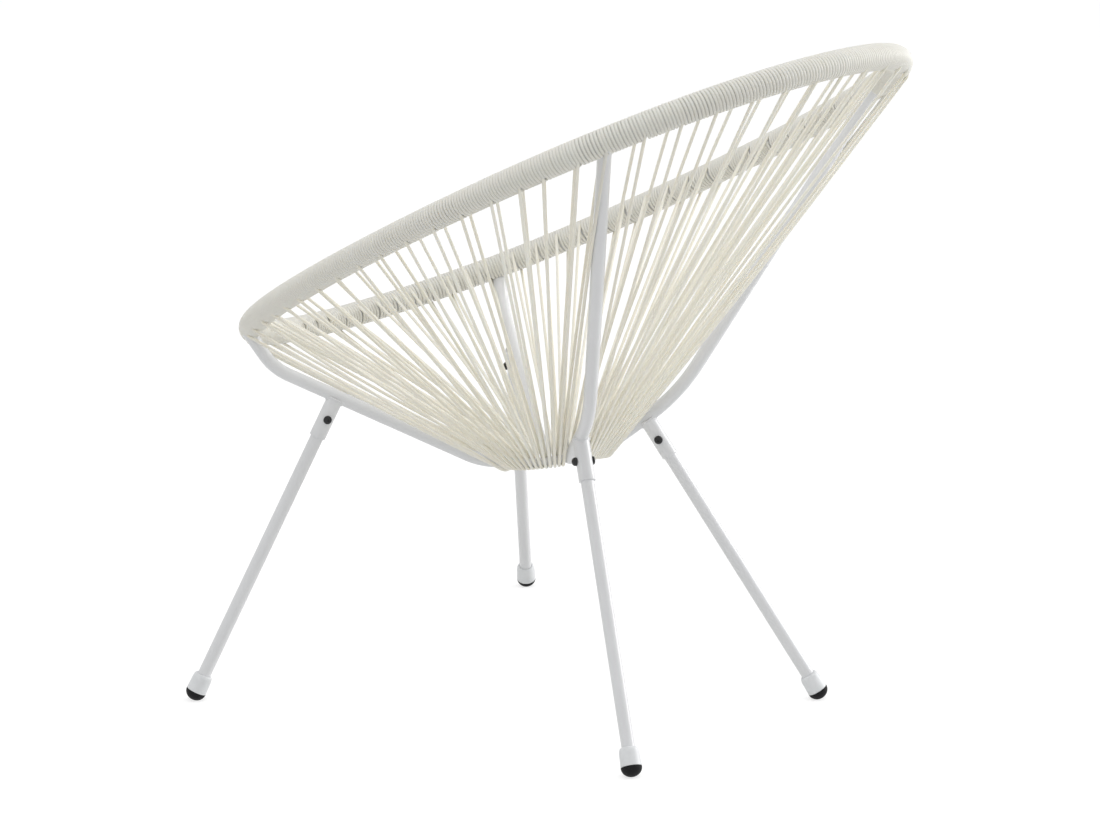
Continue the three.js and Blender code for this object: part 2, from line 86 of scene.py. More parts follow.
class Shader:
    """A material or world under construction; node() adds one node and gives back one of its outputs."""

    def __init__(self, owner):
        owner.use_nodes = True
        self.tree = owner.node_tree
        self.tree.nodes.clear()

    def node(self, kind, settings=None, inputs=None, output=0):
        made = self.tree.nodes.new(kind)
        for key, value in (settings or {}).items():
            if key == "stops":
                ramp = made.color_ramp
                for place, (position, colour) in enumerate(value):
                    stop = ramp.elements[place] if place < 2 else ramp.elements.new(position)
                    stop.position, stop.color = position, colour
            else:
                setattr(made, key, value)
        for key, value in (inputs or {}).items():
            value = value.socket if isinstance(value, Value) else value
            if isinstance(value, bpy.types.NodeSocket):
                self.tree.links.new(value, made.inputs[key])
            else:
                made.inputs[key].default_value = value
        return Value(self, made.outputs[output]) if len(made.outputs) else made

    def mix(self, share, a, b):
        """Colour a where share is 0, colour b where it is 1."""
        return self.node("ShaderNodeMix", {"data_type": "RGBA"}, {0: share, 6: a, 7: b}, output=2)


def linear(red, green, blue):
    """A colour on the 0 to 255 display scale as the linear colour that displays as it."""
    share = np.array([red, green, blue]) / 255
    return (*np.where(share <= 0.04045, share / 12.92, ((share + 0.055) / 1.055) ** 2.4), 1.0)


WHITE = (1.0, 1.0, 1.0, 1.0)
world = bpy.data.worlds.new("studio")
bpy.context.scene.world = world
sky = Shader(world)
SURROUND_LIGHT, SURROUND_FALL, BRIGHT_SIDE = 0.66, 0.16, (-0.765, -0.644, 0.0)


def seen_rays(shader):
    """1 for the rays that show the surroundings as they are: camera, glossy and transmission rays."""
    rays = shader.node("ShaderNodeLightPath").socket.node.outputs
    seen = Value(shader, rays["Is Camera Ray"]) + Value(shader, rays["Is Glossy Ray"])
    seen = seen + Value(shader, rays["Is Transmission Ray"])
    return shader.node("ShaderNodeMath", {"operation": "MINIMUM"}, {0: seen, 1: 1.0})


facing = sky.node("ShaderNodeVectorMath", {"operation": "DOT_PRODUCT"}, {
    0: sky.node("ShaderNodeTexCoord"), 1: BRIGHT_SIDE}, output=1)
surround = SURROUND_LIGHT * (1 + SURROUND_FALL * facing)
strength = surround + (1 - surround) * seen_rays(sky)
sky.node("ShaderNodeOutputWorld", None, {
    "Surface": sky.node("ShaderNodeBackground", None, {"Color": WHITE, "Strength": strength})})

FLOOR_HALF, FLOOR_LIGHT, FLOOR_GREY = 14.0, 0.72, (0.42, 0.42, 0.42, 1)
BOUNCE_WHITE = (0.8, 0.8, 0.79, 1)
floor_mesh = bpy.data.meshes.new("floor")
floor_mesh.from_pydata([(-FLOOR_HALF, -FLOOR_HALF, 0), (FLOOR_HALF, -FLOOR_HALF, 0),
                        (FLOOR_HALF, FLOOR_HALF, 0), (-FLOOR_HALF, FLOOR_HALF, 0)], [], [(0, 1, 2, 3)])
floor = bpy.data.objects.new("floor", floor_mesh)
bpy.context.scene.collection.objects.link(floor)
floor_white = bpy.data.materials.new("floor_white")
ground = Shader(floor_white)
own_light = ground.node("ShaderNodeEmission", None, {"Color": WHITE, "Strength": FLOOR_LIGHT})
catches = ground.node("ShaderNodeBsdfDiffuse", None, {"Color": FLOOR_GREY})
white_seen = ground.node("ShaderNodeAddShader", None, {0: own_light, 1: catches})
bounce = ground.node("ShaderNodeBsdfDiffuse", None, {"Color": BOUNCE_WHITE})
floor_shader = ground.node("ShaderNodeMixShader", None, {0: seen_rays(ground), 1: bounce, 2: white_seen})
ground.node("ShaderNodeOutputMaterial", None, {"Surface": floor_shader})
floor_mesh.materials.append(floor_white)


def lamp(name, place, aim, size, power):
    """A square soft lamp at a place, turned so that it shines towards its aim."""
    data = bpy.data.lights.new(name, "AREA")
    data.shape, data.size, data.energy = "SQUARE", size, power
    made = bpy.data.objects.new(name, data)
    made.location = place
    made.rotation_euler = (Vector(aim) - Vector(place)).to_track_quat("-Z", "Y").to_euler()
    bpy.context.scene.collection.objects.link(made)


lamp("lamp_above", (0.5, 0.6, 3.2), (0, 0, 0.4), size=2.4, power=20)
lamp("lamp_left", (2.6, -1.6, 1.6), (0, 0, 0.5), size=1.8, power=5)
lamp("lamp_right", (-3.8, 2.3, 1.6), (0, 0, 0.5), size=1.8, power=90)
bpy.context.scene.view_settings.view_transform = "Standard"


# The hoop: a steel tube bent to an egg and closed by a weld, white powder-coated before it is laced.
# It lies almost wholly under the cord and shows only in the gaps of the wrap and at the strut joints.
MM = 0.001
HALF_WIDTH, HALF_LENGTH, BULGE = 325 * MM, 452.5 * MM, 0.0591
HOOP_TILT, HOOP_HEIGHT = math.radians(27.2), 613.4 * MM
HOOP_TUBE = 12 * MM
PRESSED_HEIGHT, PRESSED_WIDTH, PRESSED_POWER = 0.93, 1.01, 0.9
hoop_up = np.array([0, -math.sin(HOOP_TILT), math.cos(HOOP_TILT)])


def hoop_at(turn):
    """Hoop centre line at angles from the front, tilted about X.

    Across it is A cos a (1 + 2 K sin^2 a) and up the slope B sin a, with half width A, half length B and
    bulge K.
    """
    a = np.asarray(turn) - math.pi / 2
    slope = HALF_LENGTH * np.sin(a)
    x = HALF_WIDTH * np.cos(a) * (1 + 2 * BULGE * np.sin(a) ** 2)
    return np.stack([x, slope * math.cos(HOOP_TILT), HOOP_HEIGHT + slope * math.sin(HOOP_TILT)], -1)


turn_table = np.linspace(0, 2 * math.pi, 20001)
steps_table = np.linalg.norm(np.diff(hoop_at(turn_table), axis=0), axis=1)
arc_table = np.concatenate([[0], np.cumsum(steps_table)])
HOOP_LENGTH = arc_table[-1]


def unit(vectors):
    """Each vector divided by its own length."""
    vectors = np.asarray(vectors, float)
    return vectors / np.linalg.norm(vectors, axis=-1, keepdims=True)


def hoop_frame(arc):
    """Centre, tangent and outward direction at arcs measured round the hoop from the front, by way of +X."""
    turn = np.interp(np.mod(arc, HOOP_LENGTH), arc_table, turn_table)
    tangent = unit(hoop_at(turn + 1e-4) - hoop_at(turn - 1e-4))
    return hoop_at(turn), tangent, unit(np.cross(tangent, hoop_up))


def sweep(centre, guide, radius, sides, closed=False, flat=0.0):
    """Tube surface: centre + radius (p u + q w), u the guide made square to the path and w = path x u.

    Round where flat is 0: p = cos v, q = sin v. Pressed where flat is 1: p = 0.93 cos^0.9 v and
    q = 1.01 sin^0.9 v, with the signs of cos v and sin v kept.
    """
    centre = np.asarray(centre, float)
    if closed:
        ahead = np.roll(centre, -1, 0) - np.roll(centre, 1, 0)
    else:
        ahead = np.gradient(centre, axis=0)
    ahead = unit(ahead)
    guide = np.broadcast_to(guide, centre.shape)
    u = unit(guide - (guide * ahead).sum(-1, keepdims=True) * ahead)
    w = np.cross(ahead, u)
    v = np.linspace(0, 2 * math.pi, sides, endpoint=False)
    c, s = np.cos(v), np.sin(v)
    flat = np.broadcast_to(flat, len(centre))[:, None]
    p = (1 - flat) * c + flat * PRESSED_HEIGHT * np.sign(c) * np.abs(c) ** PRESSED_POWER
    q = (1 - flat) * s + flat * PRESSED_WIDTH * np.sign(s) * np.abs(s) ** PRESSED_POWER
    radius = np.broadcast_to(radius, len(centre))[:, None, None]
    return centre[:, None] + radius * (u[:, None] * p[..., None] + w[:, None] * q[..., None])


def turned(profile, sides):
    """Surface of revolution about Z: a profile of radius and height pairs carried round the axis."""
    profile = np.asarray(profile, float)
    v = -np.linspace(0, 2 * math.pi, sides, endpoint=False)
    radius, height = profile[:, 0:1], np.repeat(profile[:, 1:2], sides, 1)
    return np.stack([radius * np.cos(v), radius * np.sin(v), height], -1)


def quads(rows, columns, start, closed):
    """Vertex numbers of the faces of one grid: its columns close up, and its rows too if closed."""
    i = np.arange(rows if closed else rows - 1)[:, None]
    j = np.arange(columns)[None]
    a = i * columns + j
    b = i * columns + (j + 1) % columns
    c = (i + 1) % rows * columns + (j + 1) % columns
    d = (i + 1) % rows * columns + j
    return start + np.stack([a, b, c, d], -1).reshape(-1, 4)


def piece(name, grids, material, nodes=(), closed=False, smooth_angle=None, strands=None):
    """One mesh from grids of points: their quads, a flat face over each open end, a tone at each point."""
    loops, totals, start = [], [], 0
    for grid in grids:
        rows, columns = grid.shape[:2]
        faces = quads(rows, columns, start, closed)
        loops.append(faces.ravel())
        totals.append(np.full(len(faces), 4))
        if not closed:
            loops.append(start + np.arange(columns)[::-1])
            loops.append(start + (rows - 1) * columns + np.arange(columns))
            totals.append(np.array([columns, columns]))
        start += rows * columns
    loops, totals = np.concatenate(loops), np.concatenate(totals)
    points = np.concatenate([grid.reshape(-1, 3) for grid in grids])
    mesh = bpy.data.meshes.new(name)
    mesh.vertices.add(len(points))
    mesh.vertices.foreach_set("co", points.ravel().astype(np.float32))
    mesh.loops.add(len(loops))
    mesh.loops.foreach_set("vertex_index", loops.astype(np.int32))
    mesh.polygons.add(len(totals))
    mesh.polygons.foreach_set("loop_start", (np.cumsum(totals) - totals).astype(np.int32))
    mesh.polygons.foreach_set("loop_total", totals.astype(np.int32))
    mesh.update(calc_edges=True)
    mesh.validate()
    mesh.shade_smooth()
    if smooth_angle is not None:
        mesh.set_sharp_from_angle(angle=math.radians(smooth_angle))
    if strands is not None:
        mesh.attributes.new("strand", "FLOAT", "POINT").data.foreach_set("value", strands.astype(np.float32))
    mesh.materials.append(material)
    made = bpy.data.objects.new(name, mesh)
    bpy.context.scene.collection.objects.link(made)
    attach(made, "root")
    if nodes:
        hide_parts(*nodes)
    return made


def powder_coat(name, colour, roughness):
    """Powder coat: a faint cloudiness of colour and gloss, and the fine orange peel of the baked skin."""
    made = bpy.data.materials.new(name)
    shader = Shader(made)
    place = shader.node("ShaderNodeTexCoord", None, None, output=3)
    cloud = shader.node("ShaderNodeTexNoise", None, {"Vector": place, "Scale": 14.0, "Detail": 3.0})
    fine = shader.node("ShaderNodeTexNoise", None, {"Vector": place, "Scale": 900.0, "Detail": 1.0})
    dull = tuple(0.93 * c for c in colour[:3]) + (1.0,)
    base = shader.mix(cloud, colour, dull)
    rough = roughness + (cloud - 0.5) * 0.16
    bumped = shader.node("ShaderNodeBump", None, {"Strength": 0.12, "Distance": 0.0002, "Height": fine})
    surface = shader.node("ShaderNodeBsdfPrincipled", None, {
        "Base Color": base, "Roughness": rough, "Normal": bumped, "Coat Weight": 0.25,
        "Coat Roughness": 0.22})
    shader.node("ShaderNodeOutputMaterial", None, {"Surface": surface})
    return made


frame_white = powder_coat("white_powder_coat", linear(231, 232, 234), 0.36)
arcs = np.linspace(0, HOOP_LENGTH, 240, endpoint=False)
hoop_centre = hoop_frame(arcs)[0]
piece("hoop", [sweep(hoop_centre, hoop_up, HOOP_TUBE, sides=24, closed=True)], frame_white,
      ["hoop_tube"], closed=True)


# The lower ring: a steel bar bent to a small round ring under the sitter, tilted up a little at the back.
# Every cord hooks round it, and the four struts are welded to it.
RING_CENTRE, RING_RADIUS = np.array([0, -20, 301.5]) * MM, 62 * MM
RING_TILT, RING_BAR = math.radians(10.1), 5 * MM


def ring_at(angle):
    """Ring centre line and its tangent at angles from +X, by way of the back, tilted about X."""
    c, s = np.cos(angle), np.sin(angle)
    point = RING_CENTRE + RING_RADIUS * np.stack([c, s * math.cos(RING_TILT), s * math.sin(RING_TILT)], -1)
    return point, np.stack([-s, c * math.cos(RING_TILT), c * math.sin(RING_TILT)], -1)


ring_centre = ring_at(np.linspace(0, 2 * math.pi, 120, endpoint=False))[0]
ring_up = np.array([0, -math.sin(RING_TILT), math.cos(RING_TILT)])
piece("ring", [sweep(ring_centre, ring_up, RING_BAR, sides=18, closed=True)], frame_white,
      ["lower_ring"], closed=True)


# The struts: bent steel tubes, two short ones forward and two long ones up the back, welded to hoop and ring.
# Their ends are hidden: the tops run up into the wrap, and the lower ends butt on the ring.
STRUT_TUBE = 8 * MM


def strut_top(arc, out, under):
    """The point at an arc of the hoop that lies out from its centre line and under it, all in mm."""
    centre, _, outward = hoop_frame(arc * MM)
    return centre + outward * out * MM - hoop_up * under * MM


def beside(point, reach, angle, rise):
    """A point moved by a reach in mm along a plan angle in degrees, and by a rise in mm."""
    angle = math.radians(angle)
    return point + np.array([reach * math.cos(angle), reach * math.sin(angle), rise]) * MM


def bent(corners, tangents, steps=14):
    """Straight runs joined by parabolas that start a tangent length from each corner."""
    points = [corners[0][None]]
    for corner, before, after, tangent in zip(corners[1:-1], corners, corners[2:], tangents):
        t = np.linspace(0, 1, steps)[:, None]
        start = corner + unit(before - corner) * tangent * MM
        end = corner + unit(after - corner) * tangent * MM
        points.append((1 - t) ** 2 * start + 2 * t * (1 - t) * corner + t ** 2 * end)
    points.append(corners[-1][None])
    return np.concatenate(points)


FRONT_ARC, BACK_ARC = 257.5, 931.0
FRONT_RING_ANGLE, BACK_RING_ANGLE, FRONT_END_DROP = -51.7, 57.5, 3
front_top = strut_top(FRONT_ARC, out=6.5, under=4.5)
front_neck = beside(front_top, reach=30.4, angle=127.2, rise=-45.3)
front_end = ring_at(math.radians(FRONT_RING_ANGLE))[0] - np.array([0, 0, FRONT_END_DROP]) * MM
front_flat = beside(front_end, reach=31, angle=FRONT_RING_ANGLE, rise=2.5)
back_top = strut_top(BACK_ARC, out=-7.9, under=3.1)
back_neck = beside(back_top, reach=230.6, angle=-136.5, rise=-366.4)
back_end = ring_at(math.radians(BACK_RING_ANGLE))[0]
strut_corners = {
    "front": [front_top, front_neck, front_flat, front_end],
    "back": [back_top, back_neck, back_end],
}
strut_tangents = {"front": [20, 16], "back": [44]}
sides = {"left": np.array([1, 1, 1]), "right": np.array([-1, 1, 1])}
for end in ("front", "back"):
    for side, mirror in sides.items():
        path_points = bent([corner * mirror for corner in strut_corners[end]], strut_tangents[end])
        guide = unit(np.cross(path_points[-1] - path_points[0], (0, 0, 1)))
        piece(f"{end}_strut_{side}", [sweep(path_points, guide, STRUT_TUBE, sides=28)], frame_white,
              [f"strut_{end}_{side}"], smooth_angle=60)


# The lacing: one long extruded vinyl cord, wound tightly round the hoop from the front centre. At each drop
# it leaves the hoop's under side, hooks round the ring from outside, and comes back to the hoop's upper side.
# The wound turns are pressed flat against the tube and each other; the strings between stay round.
CORD = 1.95 * MM
CORD_PRESS, HOOK_GAP = 0.2 * MM, 0.25 * MM
WIND = HOOP_TUBE + CORD - CORD_PRESS
HOOK = RING_BAR + HOOK_GAP + CORD
WRAP_PITCH = 3.95 * MM
HALF_GAP = 0.21 * WRAP_PITCH
TURN_POINTS, CORD_SIDES = 24, 10
rng = np.random.default_rng(7)

# Places of the drops along the hoop, in mm from the front centre back along either side. All but the front
# left ones are uneven, as in the photograph: marks read by eye, turned into lengths by a separate program.
FRONT_DROPS, STRUT_SHARE = 9, 0.4
front_left = FRONT_ARC / (FRONT_DROPS + STRUT_SHARE) * np.arange(1, FRONT_DROPS + 1)
front_right = np.array([28, 55.6, 83.4, 111.6, 138.2, 163.5, 191.4, 218.3, 245.9])
side_left = np.array([277.1, 319.1, 361.1, 393, 427.1, 461.6, 504, 544.1, 586.1, 623.6, 667.1, 709, 750.1,
                      791.6, 829, 859.1, 901.1])
side_right = np.array([284.9, 319.1, 349.9, 384.6, 419.9, 453.2, 488.6, 524.9, 558.2, 591.1, 626.4, 665.7,
                       701.6, 736.6, 770.7, 805.9, 839.1, 880])
tucked_arc = np.array([934.2])
back_left = np.array([978, 1020, 1060, 1103, 1143, 1186, 1227])
back_right = np.array([982, 1030, 1080, 1130, 1178, 1226])

FRONT_SPREAD, SIDE_START, SIDE_SPREAD, SIDE_CROWDING = 26.5, -43.5, 92.5, 0.2
OUTER_REAR_SPREAD, INNER_REAR_SPREAD = 23.5, 30


def ring_angles(side_count, back_count):
    """Ring angles in degrees of the outer and of the inner strings of one side, from front to back.

    The side's angles go from its start by spread (s + 0.2 s (1 - s)) with the share s; the others are even.
    """
    share = np.arange(side_count + 1) / side_count
    front = FRONT_SPREAD / FRONT_DROPS * np.arange(1, FRONT_DROPS + 1) - 90
    side = SIDE_START + SIDE_SPREAD * (share + SIDE_CROWDING * share * (1 - share))
    rear = (back_count + 0.5 - np.arange(1, back_count + 1)) / (back_count - 0.5)
    return (np.concatenate([front, side, 90 - OUTER_REAR_SPREAD * rear]),
            np.concatenate([front, side, 90 - INNER_REAR_SPREAD * rear]))


left_arcs = np.concatenate([front_left, side_left, tucked_arc, back_left]) * MM
right_arcs = np.concatenate([front_right, side_right, tucked_arc, back_right]) * MM
left_rings = ring_angles(len(side_left), len(back_left))
right_rings = ring_angles(len(side_right), len(back_right))
FIRST_DROP = 3 * MM
drop_arcs = np.concatenate([[FIRST_DROP], left_arcs, HOOP_LENGTH - right_arcs[::-1]])
drop_outer, drop_inner = (np.radians(np.concatenate([[-90], left, 180 - right[::-1]]))
                          for left, right in zip(left_rings, right_rings))
count = len(drop_arcs)
# Strings take random tones between two creams; tone 1 is the wound turns' darker cream, painted shade against
# the lighter strings.
STRING_TONES, WOUND_SHADE_TONE = 0.6, 1.0
drop_tones = rng.uniform(0, STRING_TONES, count)

# Layers of the outer strings: twelve on each side of the front lie over the others, the middle one a little,
# and those at the right of the back more and more from the middle outwards.
RAISED_STRINGS, MIDDLE_LAYER, BACK_LAYER = 12, 0.2, 1.2
layers = np.zeros(count)
layers[0] = MIDDLE_LAYER
layers[1:1 + RAISED_STRINGS] = 1
layers[-RAISED_STRINGS:] = 1
back_start = 1 + len(left_arcs)
layers[back_start:back_start + len(back_right)] = np.linspace(0, BACK_LAYER, len(back_right))
LAYER_AT_HOOP, LAYER_BULGE, LAYER_AT_RING = 2, 3, 3.6
SWAY = 0.5 * MM
TUCK_GAP, TUCK_STEPS, HOOK_STEPS = 0.35 * MM, 7, 12

# Shares of a string's length at its points: two close to the hoop, where the pressed cord turns round.
STRING_SHARES = np.concatenate([[0.008, 0.03], np.linspace(0.1, 1, 10)])
HALF_PRESSED = 0.4
tucked = {
    1 + len(front_left) + len(side_left): "left",
    count - 1 - len(front_right) - len(side_right): "right",
}


def over_strut(mirror, start, finish):
    """The tucked string's shortest way over its back strut: straight to the tube, round it, and straight on.

    With a point's distance d from the axis and the winding radius r, the straight run is sqrt(d^2 - r^2) long
    and takes up acos(r / d) of the turn; the rise along the tube is steady over the whole way.
    """
    top = back_top * mirror
    axis = unit((back_neck - back_top) * mirror)
    away = (top - back_end * mirror) * np.array([1, 1, 0])
    outward = unit(away - (away @ axis) * axis)
    forward = np.cross(axis, outward)
    forward = -forward * np.sign(forward[1])
    winding_radius = STRUT_TUBE + CORD + TUCK_GAP
    ends = []
    for point in (start, finish):
        offset = point - top
        distance = max(math.hypot(offset @ forward, offset @ outward), winding_radius)
        turn = math.atan2(offset @ forward, offset @ outward)
        ends.append((offset @ axis, turn, math.sqrt(distance ** 2 - winding_radius ** 2),
                     math.acos(winding_radius / distance)))
    (low, turn_from, free_from, lean_from), (high, turn_to, free_to, lean_to) = ends
    touches, leaves = turn_from + lean_from, turn_to - lean_to
    share = np.linspace(0, 1, TUCK_STEPS)[:, None]
    wound = winding_radius * (leaves - touches)
    rise = (high - low) / (free_from + wound + free_to)
    angle = touches + (leaves - touches) * share
    radial = outward * np.cos(angle) + forward * np.sin(angle)
    return top + axis * (low + rise * (free_from + wound * share)) + winding_radius * radial, radial


def lying_side(tube, cord, towards):
    """The direction square to a tube and to a cord lying on it, on the side that faces towards."""
    side = unit(np.cross(tube, cord))
    return side * np.sign(side @ towards)


def drop(number):
    """Points, guides and flatness of one drop: a string down, a half turn round the ring, a string up.

    An outer string in layer n stands off by n (2 (1 - t) + 3.6 t + 3 sin(pi t)) mm, with t from hoop to ring.
    """
    centre, tangent, _ = hoop_frame(drop_arcs[number])
    outer_centre = hoop_frame(drop_arcs[number] - HALF_GAP)[0]
    inner_centre = hoop_frame(drop_arcs[number] + HALF_GAP)[0]
    down = unit(ring_at(drop_outer[number])[0] - centre)
    up = unit(ring_at(drop_inner[number])[0] - centre)
    out_side = lying_side(tangent, down, -hoop_up)
    in_side = lying_side(tangent, up, hoop_up)
    share = np.linspace(0, 1, HOOK_STEPS)[:, None]
    centres, bars = ring_at(drop_outer[number] + (drop_inner[number] - drop_outer[number]) * share[:, 0])
    along = down * (1 - share) + up * share
    along = unit(along - (along * bars).sum(-1, keepdims=True) * bars)
    normal = np.cross(bars, along)
    normal = unit(normal) * np.sign(normal @ out_side)[:, None]
    radial = normal * np.cos(math.pi * share) + along * np.sin(math.pi * share)
    layer = layers[number] * MM
    hook = centres + (HOOK + LAYER_AT_RING * layer * (1 - share)) * radial
    start, finish = outer_centre + WIND * out_side, inner_centre + WIND * in_side
    via, via_guide = start[None], out_side[None]
    if number in tucked:
        over, over_guide = over_strut(sides[tucked[number]], start, hook[0])
        via, via_guide = np.concatenate([via, over]), np.concatenate([via_guide, over_guide])
    stretch = STRING_SHARES[:, None]
    bow = np.sin(math.pi * stretch) * tangent
    outer = via[-1] + (hook[0] - via[-1]) * stretch + bow * rng.normal(0, SWAY)
    outer += unit(out_side * (1 - stretch) + radial[0] * stretch) * layer * (
        LAYER_AT_HOOP * (1 - stretch) + LAYER_BULGE * np.sin(math.pi * stretch))
    inner = finish + (hook[-1] - finish) * stretch + bow * rng.normal(0, SWAY)
    outer_guide = via_guide[-1] * (1 - stretch) + radial[0] * stretch
    inner_guide = in_side * (1 - stretch) + radial[-1] * stretch
    points = [via, outer[:-1], hook, inner[-2::-1], finish[None]]
    guides = [via_guide, outer_guide[:-1], radial, inner_guide[-2::-1], in_side[None]]
    flat = np.zeros(sum(len(part) for part in points))
    flat[[0, 1, -2, -1]] = 1, HALF_PRESSED, HALF_PRESSED, 1
    return np.concatenate(points), np.concatenate(guides), flat, out_side, in_side


def around(side, arc):
    """The angle of a direction about the hoop's centre line, from outward towards up."""
    _, _, outward = hoop_frame(arc)
    return math.atan2(side @ hoop_up, side @ outward)


drops = [drop(number) for number in range(count)]
SLOT_CLOSING, SLOT_TURNS = 1.5 * MM, 1.8
CREEP, CREEP_RATE, CREEP_SHIFT = 0.12 * MM, 0.37, 1.7
CORD_SINK, SHORTEST_RUN = 1.2 * MM, 4


def towards_slot(angle, turns, number):
    """How far the turns beside a drop lean into its empty stretch: sin^2 across it, fading turn by turn."""
    leaves = around(drops[number][3], drop_arcs[number])
    returns = around(drops[number][4], drop_arcs[number])
    empty = (leaves - returns) % (2 * math.pi)
    share = (leaves - angle) % (2 * math.pi) / empty
    return SLOT_CLOSING * np.where(share < 1, np.sin(math.pi * share) ** 2, 0) * np.exp(-turns / SLOT_TURNS)


def winding(number):
    """Helix round the hoop from one drop's upper side to the next one's under side, at the wrap's pitch."""
    after = (number + 1) % count
    start_arc = drop_arcs[number] + HALF_GAP
    end_arc = drop_arcs[after] + (HOOP_LENGTH if after == 0 else 0) - HALF_GAP
    turns = round((end_arc - start_arc) / WRAP_PITCH - 0.5)
    begin = around(drops[number][4], start_arc)
    end = around(drops[after][3], end_arc)
    end -= 2 * math.pi * (math.ceil((end - begin) / (2 * math.pi)) + turns)
    t = np.linspace(0, 1, int((begin - end) / (2 * math.pi) * TURN_POINTS) + 2)
    angle = begin + (end - begin) * t
    arc = start_arc + (end_arc - start_arc) * t
    arc = arc + CREEP * np.sin(angle * CREEP_RATE + number * CREEP_SHIFT) * np.sin(math.pi * t)
    arc = arc - towards_slot(angle, (begin - angle) / (2 * math.pi), number)
    arc = arc + towards_slot(angle, (angle - end) / (2 * math.pi), after)
    centre, _, outward = hoop_frame(arc)
    radial = outward * np.cos(angle)[:, None] + hoop_up * np.sin(angle)[:, None]
    return centre + WIND * radial, radial


def outside_struts(points):
    """True for points outside every strut, or no deeper in than a cord sinks, by its run below the hoop."""
    clear = np.ones(len(points), bool)
    for end in ("front", "back"):
        for mirror in sides.values():
            top, neck = strut_corners[end][0] * mirror, strut_corners[end][1] * mirror
            axis = unit(neck - top)
            along = (points - top) @ axis
            gap = np.linalg.norm(points - top - along[:, None] * axis, axis=1)
            clear &= ~((along > 0) & (gap < STRUT_TUBE - CORD_SINK))
    return clear


def cord_grids(first, last):
    """Tubes and tones of the cord from the winding before a first drop up to a last one, less what is
    hidden in the struts.
    """
    points, guides, flats, tones = [], [], [], []
    for number in range(first, last):
        wound, wound_guide = winding(number - 1 if number else count - 1)
        hung, hung_guide, hung_flat = drops[number][:3]
        keep_end = len(hung) if number == last - 1 else len(hung) - 1
        points += [wound[:-1], hung[:keep_end]]
        guides += [wound_guide[:-1], hung_guide[:keep_end]]
        flats += [np.ones(len(wound) - 1), hung_flat[:keep_end]]
        # The wound turns take the darker cream that is painted shade; the strings keep their random tones.
        tones += [np.full(len(wound) - 1, WOUND_SHADE_TONE),
                  WOUND_SHADE_TONE + (drop_tones[number] - WOUND_SHADE_TONE) * (1 - hung_flat[:keep_end])]
    points, guides, flats, tones = (np.concatenate(parts) for parts in (points, guides, flats, tones))
    keep = outside_struts(points)
    starts = np.flatnonzero(np.diff(np.concatenate([[False], keep, [False]]).astype(int)))
    runs = [slice(a, b) for a, b in zip(starts[::2], starts[1::2]) if b - a >= SHORTEST_RUN]
    grids = [sweep(points[run], guides[run], CORD, CORD_SIDES, flat=flats[run]) for run in runs]
    return grids, np.concatenate([np.repeat(tones[run], CORD_SIDES) for run in runs])


def vinyl(name, light, warm, wound):
    """Vinyl cord: strings between two tones, wound turns in a darker cream that is painted shade, and a
    slight drift of colour over all.
    """
    made = bpy.data.materials.new(name)
    shader = Shader(made)
    place = shader.node("ShaderNodeTexCoord", None, None, output=3)
    drift = shader.node("ShaderNodeTexNoise", None, {"Vector": place, "Scale": 22.0, "Detail": 2.0})
    fine = shader.node("ShaderNodeTexNoise", None, {"Vector": place, "Scale": 260.0, "Detail": 1.0})
    strand = shader.node("ShaderNodeAttribute", {"attribute_name": "strand"}, None, output=2)
    stops = [(0.0, light), (STRING_TONES, warm), (WOUND_SHADE_TONE, wound)]
    tone = shader.node("ShaderNodeValToRGB", {"stops": stops}, {"Fac": strand})
    faded = shader.node("ShaderNodeMix", {"data_type": "RGBA", "blend_type": "MULTIPLY"}, {
        0: drift, 6: tone, 7: (0.95, 0.94, 0.92, 1.0)}, output=2)
    rough = 0.4 + drift * 0.08
    bumped = shader.node("ShaderNodeBump", None, {"Strength": 0.06, "Distance": 0.0001, "Height": fine})
    surface = shader.node("ShaderNodeBsdfPrincipled", None, {
        "Base Color": faded, "Roughness": rough, "Normal": bumped, "IOR": 1.5, "Subsurface Weight": 0.5,
        "Subsurface Radius": (1.0, 0.95, 0.85), "Subsurface Scale": 0.0015})
    shader.node("ShaderNodeOutputMaterial", None, {"Surface": surface})
    return made


# The third colour, for the wound turns, is darkened as painted shade; the first two are the strings' random
# tones.
cord_cream = vinyl("cream_vinyl", linear(250, 248, 240), linear(243, 240, 228), linear(234, 233, 227))
stretches = [
    ("cord_front_middle", 1, ["lacing_front_middle"]),
    ("cord_front_left", 9, ["lacing_front_left"]),
    ("cord_side_left_1", 9, ["lacing_side_1_left", "lacing_side_2_left"]),
    ("cord_side_left_2", 8, ["lacing_side_3_left", "lacing_side_4_left"]),
    ("cord_back_left", 8, ["lacing_back_1_left", "lacing_back_2_left"]),
    ("cord_back_right", 7, ["lacing_back_1_right", "lacing_back_2_right"]),
    ("cord_side_right_2", 9, ["lacing_side_3_right", "lacing_side_4_right"]),
    ("cord_side_right_1", 9, ["lacing_side_1_right", "lacing_side_2_right"]),
    ("cord_front_right", 9, ["lacing_front_right"]),
]
first = 0
for name, drop_count, nodes in stretches:
    grids, tones = cord_grids(first, first + drop_count)
    piece(name, grids, cord_cream, nodes, smooth_angle=70, strands=tones)
    first += drop_count


